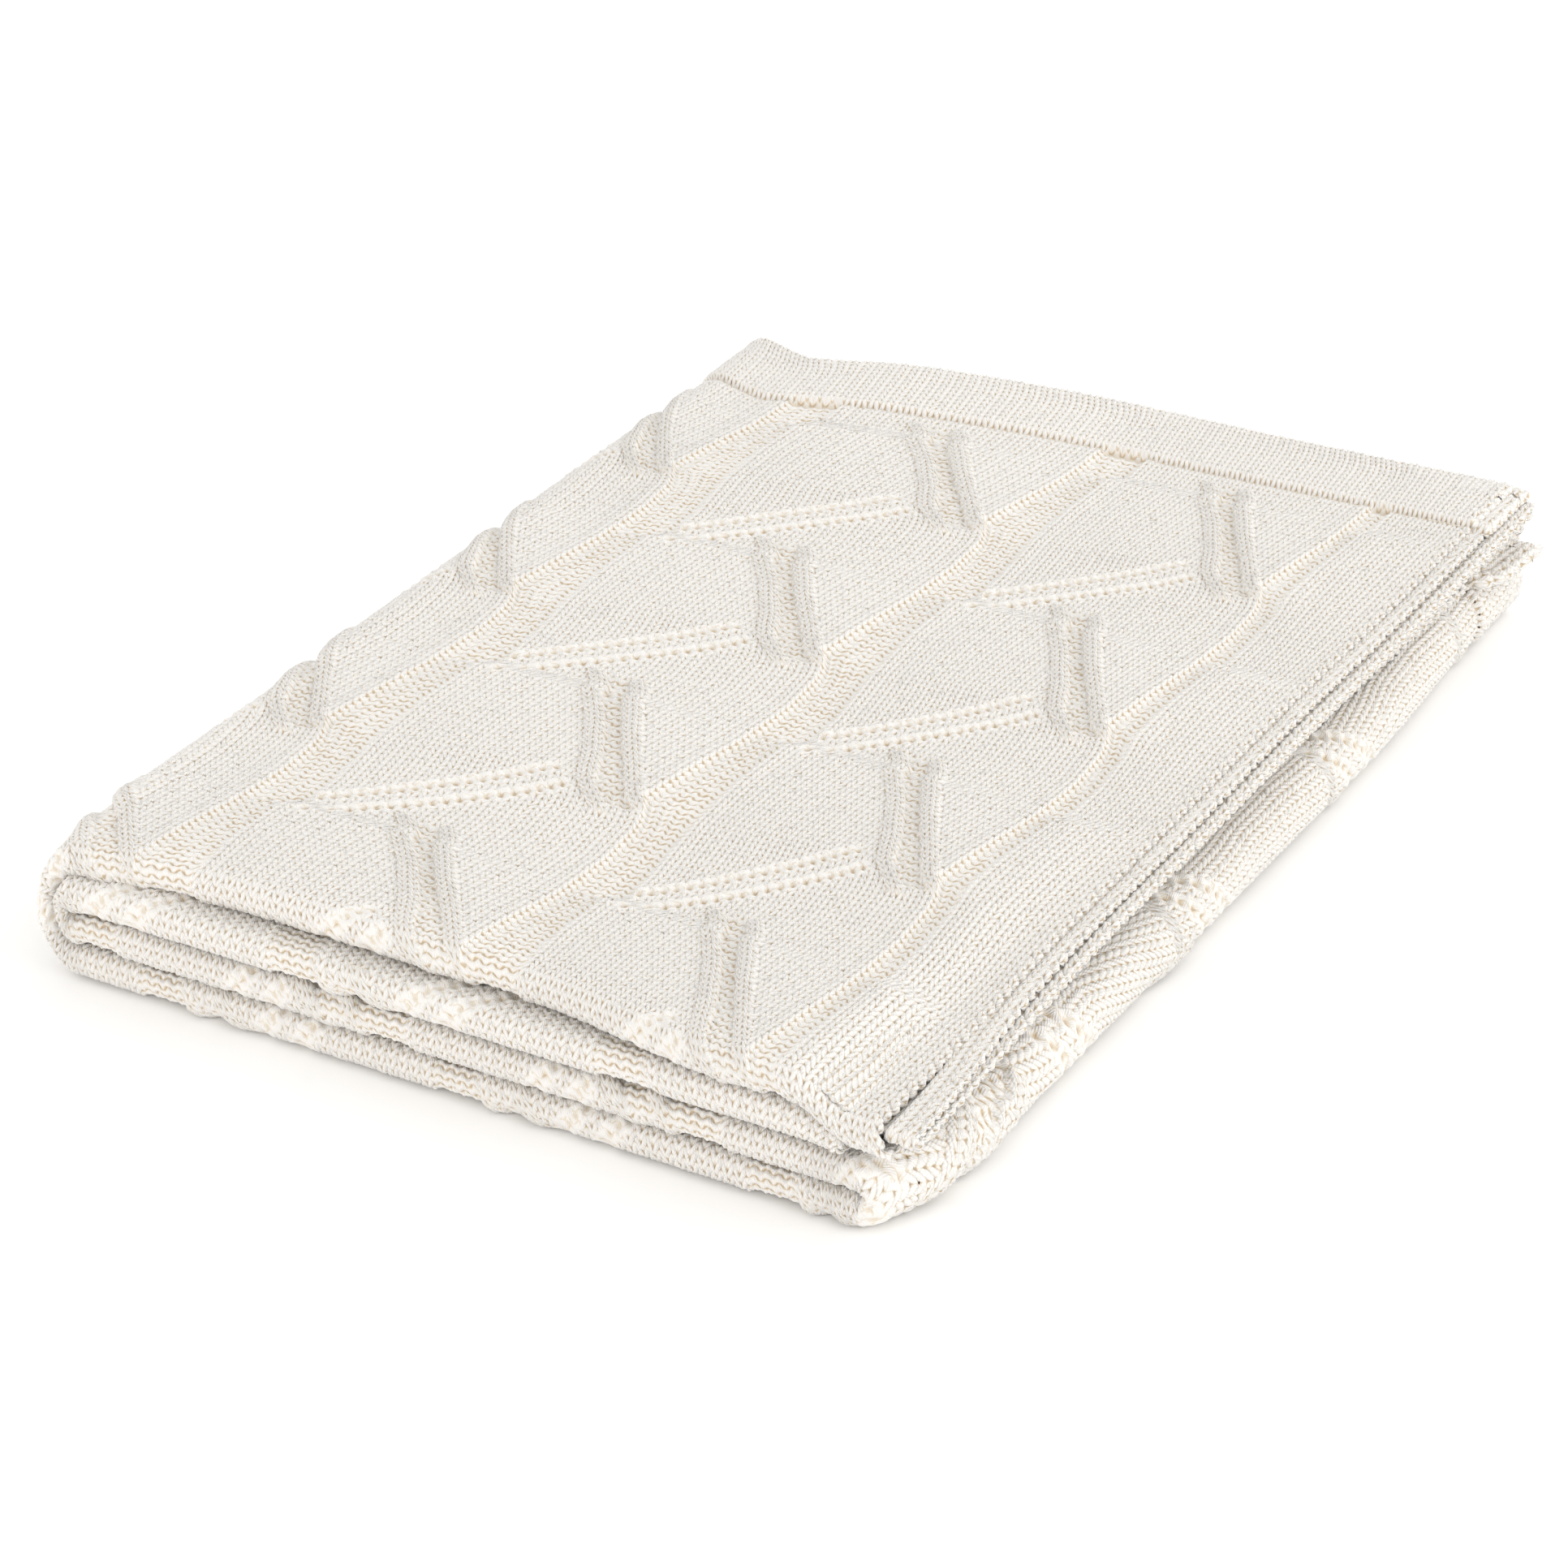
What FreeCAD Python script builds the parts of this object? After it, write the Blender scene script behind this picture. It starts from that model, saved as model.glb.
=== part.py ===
"""Folded knitted throw: one cotton sheet folded in four along its length, then in four across its width.

Each quarter of the stack is a package of four plies that one sheet makes as it turns back and forth.
From its first hem the sheet runs forward, turns under at the front, runs back, turns at the back,
runs forward between the first two runs, turns again inside the front fold and ends at its second hem.
The packages are joined by wraps, where the whole four-ply package bends round a fold at the left or right.
Millimetres. +X to the right, +Y to the back, +Z up. The origin is the middle of the footprint, on the table.
"""
import FreeCAD, Part
import os

os.makedirs("parts", exist_ok=True)

V = FreeCAD.Vector

# Driving dimensions
STACK_WIDTH = 343.0        # left fold to right fold
STACK_DEPTH = 455.0        # front folds to back folds
PLY = 2.7                  # thickness of the knitted cloth, pressed flat
SLACK = 0.4                # air between two plies of a package
QUARTER_GAP = 0.4          # air between two packages on the same side of the opening fold
OPENING_GAP = 0.6          # air between the lower half and the half that opens
HEM_DEPTH = 34.0           # the plain turned band at each end of the sheet
SELVAGE = 4.5              # the chain edge down each side of the sheet
HEM_SETBACK = 2.0          # hems stop short of the back folds
TOP_EDGE_X = 170.5         # free edge of the top quarter
SECOND_EDGE_FRONT_X = 146.0   # free edge of the second quarter, which lies askew: pulled in at the front
SECOND_EDGE_BACK_X = 163.0

# Worked out from them
PITCH = PLY + SLACK
PACK = 3 * PITCH + PLY                      # one package of four plies
BOTTOM_Z = 0.0
THIRD_Z = BOTTOM_Z + PACK + QUARTER_GAP
SECOND_Z = THIRD_Z + PACK + OPENING_GAP
TOP_Z = SECOND_Z + PACK + QUARTER_GAP
STACK_HEIGHT = TOP_Z + PACK
MIDDLE_Z = STACK_HEIGHT / 2
FRONT_Y = -STACK_DEPTH / 2
BACK_Y = STACK_DEPTH / 2
LEFT_AXIS_X = -STACK_WIDTH / 2 + MIDDLE_Z   # centre line of the two left wraps
RIGHT_AXIS_Z = PACK + QUARTER_GAP / 2
RIGHT_AXIS_X = STACK_WIDTH / 2 - RIGHT_AXIS_Z
OUTER_TURN = PACK / 2                       # outside radius of the front fold that joins plies one and four
INNER_TURN = (PITCH + PLY) / 2              # outside radius of a fold that joins neighbouring plies
OUTER_TURN_Y = FRONT_Y + OUTER_TURN
INNER_TURN_Y = FRONT_Y + PLY + SLACK + INNER_TURN
BACK_TURN_Y = BACK_Y - INNER_TURN
HEM_END_Y = BACK_Y - HEM_SETBACK
HEM_START_Y = HEM_END_Y - HEM_DEPTH

# Depth of each ply in its package: the first hemmed ply is on the patterned outside
LEVEL = {"outer_hem_ply": 3 * PITCH, "inner_hem_ply": 2 * PITCH, "inner_turned_ply": PITCH, "outer_turned_ply": 0.0}
PLY_START_Y = {"outer_hem_ply": OUTER_TURN_Y, "inner_hem_ply": INNER_TURN_Y,
               "inner_turned_ply": INNER_TURN_Y, "outer_turned_ply": OUTER_TURN_Y}
PLY_END_Y = {"outer_hem_ply": HEM_START_Y, "inner_hem_ply": HEM_START_Y,
             "inner_turned_ply": BACK_TURN_Y, "outer_turned_ply": BACK_TURN_Y}


class Quarter:
    """One package: where it lies, which way up it is, and where its plies stop to the right."""

    def __init__(self, name, base_z, flipped, edge_front_x, edge_back_x, free_edge):
        self.name = name
        self.base_z = base_z
        self.flipped = flipped
        self.edge_front_x = edge_front_x
        self.edge_back_x = edge_back_x
        self.free_edge = free_edge

    def z(self, depth):
        """Height of a point that lies depth above the outer turned ply's face."""
        if self.flipped:
            return self.base_z + PACK - depth
        return self.base_z + depth

    def edge_x(self, y):
        """Right-hand end of the package at y."""
        share = (y - FRONT_Y) / STACK_DEPTH
        return self.edge_front_x + share * (self.edge_back_x - self.edge_front_x)


def slab(quarter, depth, y0, y1, inset0, inset1):
    """A flat ply between y0 and y1. It runs from the left wrap, or from inset0 short of the edge, to inset1 short."""
    z0 = min(quarter.z(depth), quarter.z(depth + PLY))
    left0 = LEFT_AXIS_X if inset0 is None else quarter.edge_x(y0) - inset0
    left1 = LEFT_AXIS_X if inset0 is None else quarter.edge_x(y1) - inset0
    corners = [V(left0, y0, z0), V(quarter.edge_x(y0) - inset1, y0, z0),
               V(quarter.edge_x(y1) - inset1, y1, z0), V(left1, y1, z0)]
    outline = Part.makePolygon(corners + corners[:1])
    return Part.Face(outline).extrude(V(0, 0, PLY))


def turn(quarter, depth, centre_y, outside_radius, toward, x1):
    """A half-round fold of one ply thickness, centred depth above the package's base."""
    zc = quarter.z(depth)
    inside_radius = outside_radius - PLY
    top = V(LEFT_AXIS_X, centre_y, zc + outside_radius)
    middle = V(LEFT_AXIS_X, centre_y + toward * outside_radius, zc)
    bottom = V(LEFT_AXIS_X, centre_y, zc - outside_radius)
    inner_bottom = V(LEFT_AXIS_X, centre_y, zc - inside_radius)
    inner_middle = V(LEFT_AXIS_X, centre_y + toward * inside_radius, zc)
    inner_top = V(LEFT_AXIS_X, centre_y, zc + inside_radius)
    wire = Part.Wire([
        Part.Arc(top, middle, bottom).toShape(),
        Part.makeLine(bottom, inner_bottom),
        Part.Arc(inner_bottom, inner_middle, inner_top).toShape(),
        Part.makeLine(inner_top, top),
    ])
    return Part.Face(wire).extrude(V(x1 - LEFT_AXIS_X, 0, 0))


def package_section(x, z_of):
    """The whole folded sheet cut across its length, as a face in the plane at x. z_of turns a depth into a height."""
    half = PACK / 2
    nest = (PITCH + PLY) / 2
    inner_centre = (LEVEL["inner_turned_ply"] + LEVEL["inner_hem_ply"] + PLY) / 2
    back_centre = (PITCH + PLY) / 2
    pinch = SLACK / 2

    def at(y, depth):
        return V(x, y, z_of(depth))

    def line(a, b):
        return Part.makeLine(a, b)

    def arc(y, centre, radius, toward, upward):
        start = at(y, centre - upward * radius)
        middle = at(y + toward * radius, centre)
        end = at(y, centre + upward * radius)
        return Part.Arc(start, middle, end).toShape()

    edges = [
        line(at(HEM_END_Y, PACK), at(OUTER_TURN_Y, PACK)),
        arc(OUTER_TURN_Y, half, half, -1, -1),
        line(at(OUTER_TURN_Y, 0), at(BACK_TURN_Y, 0)),
        arc(BACK_TURN_Y, back_centre, nest, 1, 1),
        line(at(BACK_TURN_Y, PITCH + PLY), at(INNER_TURN_Y, PITCH + PLY)),
        arc(INNER_TURN_Y, inner_centre, pinch, -1, 1),
        line(at(INNER_TURN_Y, 2 * PITCH), at(HEM_END_Y, 2 * PITCH)),
        line(at(HEM_END_Y, 2 * PITCH), at(HEM_END_Y, 2 * PITCH + PLY)),
        line(at(HEM_END_Y, 2 * PITCH + PLY), at(INNER_TURN_Y, 2 * PITCH + PLY)),
        arc(INNER_TURN_Y, inner_centre, nest, -1, -1),
        line(at(INNER_TURN_Y, PITCH), at(BACK_TURN_Y, PITCH)),
        arc(BACK_TURN_Y, back_centre, pinch, 1, -1),
        line(at(BACK_TURN_Y, PLY), at(OUTER_TURN_Y, PLY)),
        arc(OUTER_TURN_Y, half, half - PLY, -1, 1),
        line(at(OUTER_TURN_Y, 3 * PITCH), at(HEM_END_Y, 3 * PITCH)),
        line(at(HEM_END_Y, 3 * PITCH), at(HEM_END_Y, PACK)),
    ]
    return Part.Face(Part.Wire(edges))


def wrap(axis_x, axis_z, radius_of, side):
    """The package bent half round a fold. radius_of gives each depth's radius; side is -1 for left, 1 for right."""
    section = package_section(axis_x, lambda depth: axis_z + radius_of(depth))
    return section.revolve(V(axis_x, 0, axis_z), V(0, side, 0), 180)


def halves(shape):
    """A left wrap parted at the stack's middle, where the throw opens: its upper and lower half."""
    big = 2 * STACK_DEPTH
    upper_box = Part.makeBox(big, big, big, V(-big / 2, -big / 2, MIDDLE_Z + OPENING_GAP / 2))
    lower_box = Part.makeBox(big, big, big, V(-big / 2, -big / 2, MIDDLE_Z - OPENING_GAP / 2 - big))
    return shape.common(upper_box), shape.common(lower_box)


def write(name, shapes):
    """One node: a solid, or several separate solids in a group."""
    solids = [solid for shape in shapes for solid in shape.Solids]
    for solid in solids:
        assert solid.isValid() and solid.Volume > 0, name
    shape = solids[0] if len(solids) == 1 else Part.makeCompound(solids)
    shape.exportStep("parts/" + name + ".step")
    box = shape.BoundBox
    print("%-34s %2d solid  %7.1f cm3  x %.1f..%.1f  y %.1f..%.1f  z %.1f..%.1f" % (
        name, len(solids), sum(s.Volume for s in solids) / 1000.0,
        box.XMin, box.XMax, box.YMin, box.YMax, box.ZMin, box.ZMax))


def make_quarter(quarter):
    """Writes one package: four plies, the front folds, the back fold, the hems and any free selvages."""
    trim = SELVAGE if quarter.free_edge else 0.0
    for ply, depth in LEVEL.items():
        write(quarter.name + "_" + ply, [slab(quarter, depth, PLY_START_Y[ply], PLY_END_Y[ply], None, trim)])
    front_x = quarter.edge_x(FRONT_Y)
    write(quarter.name + "_front_folds", [
        turn(quarter, PACK / 2, OUTER_TURN_Y, OUTER_TURN, -1, front_x),
        turn(quarter, PACK / 2, INNER_TURN_Y, INNER_TURN, -1, front_x),
    ])
    write(quarter.name + "_back_fold", [
        turn(quarter, INNER_TURN, BACK_TURN_Y, INNER_TURN, 1, quarter.edge_x(BACK_TURN_Y)),
    ])
    write(quarter.name + "_hems", [
        slab(quarter, LEVEL[ply], HEM_START_Y, HEM_END_Y, None, trim) for ply in ("outer_hem_ply", "inner_hem_ply")
    ])
    if quarter.free_edge:
        ends = {"outer_hem_ply": HEM_END_Y, "inner_hem_ply": HEM_END_Y,
                "inner_turned_ply": BACK_TURN_Y, "outer_turned_ply": BACK_TURN_Y}
        write(quarter.name + "_selvages", [
            slab(quarter, depth, PLY_START_Y[ply], ends[ply], trim, 0.0) for ply, depth in LEVEL.items()
        ])


QUARTERS = [
    Quarter("top_quarter", TOP_Z, False, TOP_EDGE_X, TOP_EDGE_X, True),
    Quarter("second_quarter", SECOND_Z, True, SECOND_EDGE_FRONT_X, SECOND_EDGE_BACK_X, True),
    Quarter("third_quarter", THIRD_Z, False, RIGHT_AXIS_X, RIGHT_AXIS_X, False),
    Quarter("bottom_quarter", BOTTOM_Z, True, RIGHT_AXIS_X, RIGHT_AXIS_X, False),
]
for one in QUARTERS:
    make_quarter(one)

# The top quarter runs round into the bottom one, outside the second and third, which join inside it
outer_start = TOP_Z - MIDDLE_Z
inner_start = MIDDLE_Z - THIRD_Z
left_outer = wrap(LEFT_AXIS_X, MIDDLE_Z, lambda depth: outer_start + depth, -1)
left_inner = wrap(LEFT_AXIS_X, MIDDLE_Z, lambda depth: inner_start - depth, -1)
for wrap_name, whole in (("left_outer_wrap", left_outer), ("left_inner_wrap", left_inner)):
    upper, lower = halves(whole)
    write(wrap_name + "_upper", [upper])
    write(wrap_name + "_lower", [lower])

# The third and bottom quarters join round the right-hand fold
write("right_wrap", [wrap(RIGHT_AXIS_X, RIGHT_AXIS_Z, lambda depth: QUARTER_GAP / 2 + depth, 1)])

print("stack %.1f x %.1f x %.1f mm, opening fold line at x %.1f, z %.2f" % (
    STACK_WIDTH, STACK_DEPTH, STACK_HEIGHT, -STACK_WIDTH / 2 - OPENING_GAP / 2, MIDDLE_Z))
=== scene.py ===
# %% [markdown]
# # A folded cable-knit throw
#
# The object is one big cotton blanket, knitted in one piece and folded into a flat stack. There are
# no boards or cushions inside it: what looks like a block is one sheet that turns back and forth.
# So this lesson builds the sheet once, as a map from the flat knitting to the folded stack, and then
# cuts that map into pieces.

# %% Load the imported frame
import math
import bpy
import numpy as np
from mathutils import Matrix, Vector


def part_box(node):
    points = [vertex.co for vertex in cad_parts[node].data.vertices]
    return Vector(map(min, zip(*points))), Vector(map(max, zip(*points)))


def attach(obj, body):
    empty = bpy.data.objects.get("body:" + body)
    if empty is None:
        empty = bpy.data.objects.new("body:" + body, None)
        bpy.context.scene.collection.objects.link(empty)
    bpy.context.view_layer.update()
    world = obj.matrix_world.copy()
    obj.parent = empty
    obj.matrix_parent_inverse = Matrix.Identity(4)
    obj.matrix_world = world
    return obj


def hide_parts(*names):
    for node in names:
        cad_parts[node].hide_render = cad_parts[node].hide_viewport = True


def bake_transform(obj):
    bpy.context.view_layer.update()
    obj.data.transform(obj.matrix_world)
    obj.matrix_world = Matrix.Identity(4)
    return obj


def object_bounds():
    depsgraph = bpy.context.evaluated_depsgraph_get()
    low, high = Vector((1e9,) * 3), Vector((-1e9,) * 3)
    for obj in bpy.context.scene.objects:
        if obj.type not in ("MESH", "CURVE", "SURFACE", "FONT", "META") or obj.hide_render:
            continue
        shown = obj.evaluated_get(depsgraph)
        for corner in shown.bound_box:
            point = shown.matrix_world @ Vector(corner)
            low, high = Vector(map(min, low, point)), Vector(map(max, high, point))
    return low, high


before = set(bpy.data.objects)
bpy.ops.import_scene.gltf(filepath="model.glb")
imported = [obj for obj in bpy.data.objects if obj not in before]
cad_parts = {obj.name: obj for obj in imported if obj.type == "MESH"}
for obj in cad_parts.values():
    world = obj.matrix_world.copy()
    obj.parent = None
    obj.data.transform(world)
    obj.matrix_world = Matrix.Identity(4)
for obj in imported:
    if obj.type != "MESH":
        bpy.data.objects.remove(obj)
cad_low, cad_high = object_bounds()
print("stack size", [round(high - low, 4) for low, high in zip(cad_low, cad_high)])

# %% [markdown]
# ## Camera first
#
# The camera goes in before the cloth, so that every trial render is seen from the same place. It looks
# down on the stack from the front right with a long lens, which keeps far and near edges almost parallel.

# %% Camera
MM = 0.001
CAMERA_TURN = math.radians(32.8)
CAMERA_RISE = math.radians(29.9)
CAMERA_TILT = math.radians(-2.5)
CAMERA_DISTANCE = 1.58
CAMERA_LENS = 107.5
LOOK_AT = np.array([16.2, -44.8, 25.0]) * MM


def aim_camera():
    """A camera object that looks at LOOK_AT, turned about the stack and tilted a little on its own axis."""
    back = np.array([
        math.sin(CAMERA_TURN) * math.cos(CAMERA_RISE),
        -math.cos(CAMERA_TURN) * math.cos(CAMERA_RISE),
        math.sin(CAMERA_RISE),
    ])
    level = np.array([math.cos(CAMERA_TURN), math.sin(CAMERA_TURN), 0.0])
    upward = np.cross(back, level)
    right = level * math.cos(CAMERA_TILT) + upward * math.sin(CAMERA_TILT)
    top = upward * math.cos(CAMERA_TILT) - level * math.sin(CAMERA_TILT)
    place = LOOK_AT + back * CAMERA_DISTANCE
    data = bpy.data.cameras.new("studio_camera")
    data.lens = CAMERA_LENS
    data.clip_start = 0.05
    data.clip_end = 20.0
    camera = bpy.data.objects.new("studio_camera", data)
    bpy.context.scene.collection.objects.link(camera)
    matrix = np.eye(4)
    matrix[:3, 0] = right
    matrix[:3, 1] = top
    matrix[:3, 2] = back
    matrix[:3, 3] = place
    camera.matrix_world = Matrix(matrix.tolist())
    bpy.context.scene.camera = camera
    return camera


camera = aim_camera()
print("camera at", [round(value, 3) for value in camera.matrix_world.translation])

# %% [markdown]
# ## The stack, read from the frame
#
# Four packages lie on each other. Each is the sheet folded in four along its length, so it has four
# plies: two carry the hems at the back, two are joined by a fold there, and all four turn at the front.
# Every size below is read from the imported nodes, so the cloth fits whatever the frame says.

# %% Sizes of the packages
LAYERS = ("outer_hem_ply", "outer_turned_ply", "inner_turned_ply", "inner_hem_ply")


def low_high(node):
    """Lowest and highest corner of a node, as arrays."""
    low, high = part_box(node)
    return np.array(low), np.array(high)


ply_low, ply_high = low_high("top_quarter_outer_hem_ply")
PLY = ply_high[2] - ply_low[2]
PACKAGE = {}
for quarter in ("top", "second", "third", "bottom"):
    lows = [low_high(quarter + "_quarter_" + layer)[0][2] for layer in LAYERS]
    PACKAGE[quarter] = min(lows)
PACK = ply_high[2] - PACKAGE["top"]
PITCH = (PACK - PLY) / 3
LEFT_X = ply_low[0]
RIGHT_X = low_high("third_quarter_outer_hem_ply")[1][0]
MIDDLE_Z = cad_high[2] / 2
RIGHT_Z = (PACKAGE["bottom"] + PACKAGE["third"] + PACK) / 2
FRONT_Y = cad_low[1]
BACK_Y = cad_high[1]
HEM_END_Y = low_high("top_quarter_hems")[1][1]
OUTER_TURN = PACK / 2
INNER_TURN = (PITCH + PLY) / 2
OUTER_TURN_Y = FRONT_Y + OUTER_TURN
BACK_TURN_Y = BACK_Y - INNER_TURN
print("ply %.4f, package %.4f, left fold line %.4f, right %.4f" % (PLY, PACK, LEFT_X, RIGHT_X))

# %% [markdown]
# ## Flat knitting
#
# Knitting has its own ruler. Across the sheet it counts wales, the columns of stitches; along the sheet
# it counts courses, the rows. This throw is 284 wales by 580 courses. Ten panels of 22 wales carry the
# cables, and sunken channels of 4 wales lie between them.

# %% The stitch ruler
FLAT_WIDTH = 1.27
FLAT_LENGTH = 1.80
WALES = 284
COURSES = 580
WALE = FLAT_WIDTH / WALES
COURSE = FLAT_LENGTH / COURSES
HEM = 11  # courses in each turned hem
EDGE = 8  # plain wales before the first channel
PANEL = 22
CHANNEL = 4
THIN_CHANNEL = 2
REPEAT = PANEL + CHANNEL  # wales from one panel to the next
ROW = 36  # courses from one cable to the next
FIRST_PANEL = EDGE + THIN_CHANNEL
LAST_PANEL_END = FIRST_PANEL + 10 * REPEAT
print("one wale %.2f mm, one course %.2f mm" % (WALE / MM, COURSE / MM))

# %% [markdown]
# ## The fold along the length
#
# Follow the sheet from its first hem: forward along the top ply, round the front, back along the
# underside, round a small turn at the back, forward again, round a small turn inside the front fold, and
# back to the second hem. Each stretch is a straight run or a half circle, so a course number gives a
# place in the package: y, and a depth that is 0 on the turned face and PACK on the hemmed face.

# %% Runs and turns
MID = {"outer_hem": PACK - PLY / 2, "inner_hem": 2 * PITCH + PLY / 2, "inner_turned": PITCH + PLY / 2,
       "outer_turned": PLY / 2}
OUTER_RADIUS = (MID["outer_hem"] - MID["outer_turned"]) / 2
INNER_RADIUS = PITCH / 2
RUNS = [
    ("run", HEM_END_Y, OUTER_TURN_Y, MID["outer_hem"], 1),
    ("turn", OUTER_TURN_Y, OUTER_RADIUS, PACK / 2, -1),
    ("run", OUTER_TURN_Y, BACK_TURN_Y, MID["outer_turned"], -1),
    ("turn", BACK_TURN_Y, INNER_RADIUS, INNER_TURN, 1),
    ("run", BACK_TURN_Y, OUTER_TURN_Y, MID["inner_turned"], 1),
    ("inside_turn", OUTER_TURN_Y, INNER_RADIUS, PACK / 2, 1),
    ("run", OUTER_TURN_Y, HEM_END_Y, MID["inner_hem"], -1),
]


def run_length(step):
    """Length of cloth in a run or a half circle."""
    return abs(step[2] - step[1]) if step[0] == "run" else math.pi * step[2]


LENGTHS = np.array([run_length(step) for step in RUNS])
STARTS = np.concatenate([[0.0], np.cumsum(LENGTHS)])
STEP_COURSE = STARTS[-1] / COURSES
TURN_COURSES = STARTS / STEP_COURSE  # the course at which each run or turn starts
print("courses at the turns", [round(value, 1) for value in TURN_COURSES])


def along(course):
    """Middle of the ply at a course: y, depth, and which way its right side faces, as (y, depth)."""
    s = course * STEP_COURSE
    y = np.zeros_like(s)
    depth = np.zeros_like(s)
    face_y = np.zeros_like(s)
    face_depth = np.zeros_like(s)
    for i, (kind, a, b, level, sign) in enumerate(RUNS):
        here = (s >= STARTS[i]) if i else np.ones(s.shape, bool)
        if i < len(RUNS) - 1:
            here &= s < STARTS[i + 1]
        gone = s[here] - STARTS[i]
        if kind == "run":
            y[here] = a + math.copysign(1, b - a) * gone
            depth[here] = level
            face_depth[here] = sign
        else:
            angle = gone / b
            if kind == "turn" and sign < 0:      # from the top face round the front to the underside
                y[here], depth[here] = a - b * np.sin(angle), level + b * np.cos(angle)
                face_y[here], face_depth[here] = -np.sin(angle), np.cos(angle)
            elif kind == "turn":                 # from the underside round the back
                y[here], depth[here] = a + b * np.sin(angle), level - b * np.cos(angle)
                face_y[here], face_depth[here] = np.sin(angle), -np.cos(angle)
            else:                                # the small turn inside the front fold, right side inwards
                y[here], depth[here] = a - b * np.sin(angle), level - b * np.cos(angle)
                face_y[here], face_depth[here] = np.sin(angle), np.cos(angle)
    return y, depth, face_y, face_depth


# %% [markdown]
# ## The fold across the width
#
# Across the width the package runs left over the top, round the outside of the left fold, right along
# the table, up round the right-hand fold, left again, round the inside of the left fold, and right to
# its free edge. Where a ply lies further out on a wrap it needs more cloth, so away from the front the
# outer ply slips along by a few wales.

# %% Stations across the width
LEFT_FOLD = 67.5  # the wale where the top face ends and the left wrap begins
TOP_STATIONS = np.array([0, EDGE, FIRST_PANEL, 32, 36, 58, 62, LEFT_FOLD])
TOP_PLACES = np.array([160.0, 126.0, 118.0, 26.0, 8.0, -100.0, -121.0, LEFT_X / MM]) * MM
FRONT_STATIONS = np.array([LEFT_FOLD, 77.6, 146.1, 149.8, 218.3, 222.7])
OUTER_SLIP = np.array([0.0, 5.8, 5.8, 9.1, 9.1, 5.9])
SLIP_LENGTH = 0.25
SECOND_EDGE_FRONT = 146.0  # free edge of the second package, mm right of the middle
SECOND_EDGE_BACK = 163.0


def smooth(low, high, value):
    """0 before low, 1 after high, and an S between them."""
    share = np.clip((value - low) / (high - low), 0, 1)
    return share * share * (3 - 2 * share)


def second_edge(y):
    """Free edge of the second package, which lies askew: further in at the front."""
    share = (y - FRONT_Y) / (BACK_Y - FRONT_Y)
    return (SECOND_EDGE_FRONT + share * (SECOND_EDGE_BACK - SECOND_EDGE_FRONT)) * MM


def across(wale, depth, y, outermost):
    """x, z and section of a wale at a depth in its package. Section 0 is the top, 6 the second package."""
    slip = smooth(0, SLIP_LENGTH, y - FRONT_Y) * outermost
    stations = [base + slip * more for base, more in zip(FRONT_STATIONS, OUTER_SLIP)]
    x = np.zeros_like(wale)
    z = np.zeros_like(wale)

    def share(i, here):
        return (wale[here] - stations[i][here]) / (stations[i + 1][here] - stations[i][here])

    section = np.zeros(wale.shape, int)
    for station in stations:
        section += wale >= station
    here = section == 0
    first = (TOP_PLACES[1] - TOP_PLACES[0]) / TOP_STATIONS[1]
    x[here] = np.interp(wale[here], TOP_STATIONS, TOP_PLACES) + np.minimum(wale[here], 0) * first
    z[here] = PACKAGE["top"] + depth[here]
    wraps = (
        (1, LEFT_X, MIDDLE_Z, -1, 1, PACKAGE["top"] - MIDDLE_Z + depth),
        (3, RIGHT_X, RIGHT_Z, 1, -1, RIGHT_Z - PACKAGE["bottom"] - PACK + depth),
        (5, LEFT_X, MIDDLE_Z, -1, -1, MIDDLE_Z - PACKAGE["third"] - depth),
    )
    for number, middle_x, middle_z, side_x, side_z, radius in wraps:
        here = section == number
        angle = math.pi * share(number - 1, here)
        x[here] = middle_x + side_x * radius[here] * np.sin(angle)
        z[here] = middle_z + side_z * radius[here] * np.cos(angle)
    here = section == 2
    x[here] = LEFT_X + share(1, here) * (RIGHT_X - LEFT_X)
    z[here] = PACKAGE["bottom"] + PACK - depth[here]
    here = section == 4
    x[here] = RIGHT_X - share(3, here) * (RIGHT_X - LEFT_X)
    z[here] = PACKAGE["third"] + depth[here]
    here = section == 6
    rest = (wale[here] - stations[5][here]) / (WALES - stations[5][here])
    x[here] = LEFT_X + rest * (second_edge(y[here]) - LEFT_X)
    z[here] = PACKAGE["second"] + PACK - depth[here]
    return x, z, section


# %% [markdown]
# ## Wandering wales
#
# A cable pulls its neighbours. At the foot of each cable the panel's right border kicks out, and at the
# foot of each slanting band of holes its left border jumps back. Between those places the wales drift,
# so no line in the knitting is quite straight. The drift is in millimetres.

# %% Drift of the panel borders
LEFT_DRIFT = ([0, 6, 7.5, 16, 26, 36], [5.0, 6.0, -1.0, -2.0, 0.0, 5.0])
RIGHT_DRIFT = ([0, 9, 15.6, 22, 24, 27.4, 29.6, 36], [4.8, 3.0, -1.0, -4.3, -4.5, 1.0, 3.0, 4.8])


def row_of(course):
    """Courses since the start of the cable row."""
    return np.mod(course - HEM, ROW)


def drift(wale, course):
    """How far a stitch lies towards the first edge from its plain place, in metres."""
    v = row_of(course)
    left = np.interp(v, *LEFT_DRIFT) * MM
    right = np.interp(v, *RIGHT_DRIFT) * MM
    local = np.mod(wale - FIRST_PANEL, REPEAT)
    in_panel = right + (left - right) * local / PANEL
    in_channel = left + (right - left) * (local - PANEL) / CHANNEL
    body = np.where(local < PANEL, in_panel, in_channel)
    fade = np.clip(wale / FIRST_PANEL, 0, 1) * np.clip((WALES - wale) / EDGE, 0, 1)
    return body * fade


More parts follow.
